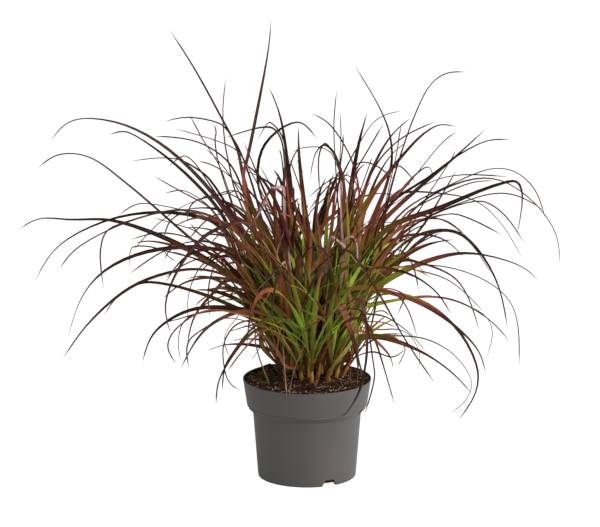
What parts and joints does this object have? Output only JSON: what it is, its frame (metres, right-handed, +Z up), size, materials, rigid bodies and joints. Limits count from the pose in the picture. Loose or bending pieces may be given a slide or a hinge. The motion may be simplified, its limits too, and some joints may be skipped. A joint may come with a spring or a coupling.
{
  "type": "potted ornamental grass",
  "caption": "Clump of arching purple-leaved ornamental grass growing in a round nursery pot filled with soil.",
  "frame": {"origin": "middle of the underside of the pot, on the surface that it stands on", "axes": "+Z up, +X to the right in the picture, +Y away from its viewer"},
  "size_m": [0.8098, 0.71, 0.6847],
  "materials": {
    "pot": "dark grey moulded plastic with a soft sheen, lightly soiled",
    "soil": "moist dark brown peat, crumbly, with fibres and pale bark bits",
    "leaf": "thin satin leaf, green at the base and burgundy towards the tip"
  },
  "bodies": {
    "root": {"pot": "pot", "soil": "soil", "tiller_01": "leaf", "tiller_02": "leaf", "tiller_03": "leaf", "tiller_04": "leaf", "tiller_05": "leaf", "tiller_06": "leaf", "tiller_07": "leaf", "tiller_08": "leaf", "tiller_09": "leaf", "tiller_10": "leaf", "tiller_11": "leaf", "tiller_12": "leaf", "tiller_13": "leaf", "tiller_14": "leaf", "tiller_15": "leaf", "tiller_16": "leaf", "tiller_17": "leaf", "tiller_18": "leaf", "tiller_19": "leaf", "tiller_20": "leaf", "tiller_21": "leaf", "tiller_22": "leaf", "tiller_23": "leaf", "tiller_24": "leaf", "tiller_25": "leaf", "tiller_26": "leaf", "tiller_27": "leaf", "tiller_28": "leaf", "tiller_29": "leaf", "tiller_30": "leaf", "tiller_31": "leaf", "tiller_32": "leaf", "tiller_33": "leaf", "tiller_34": "leaf", "tiller_35": "leaf", "tiller_36": "leaf", "tiller_37": "leaf"}
  },
  "joints": []
}
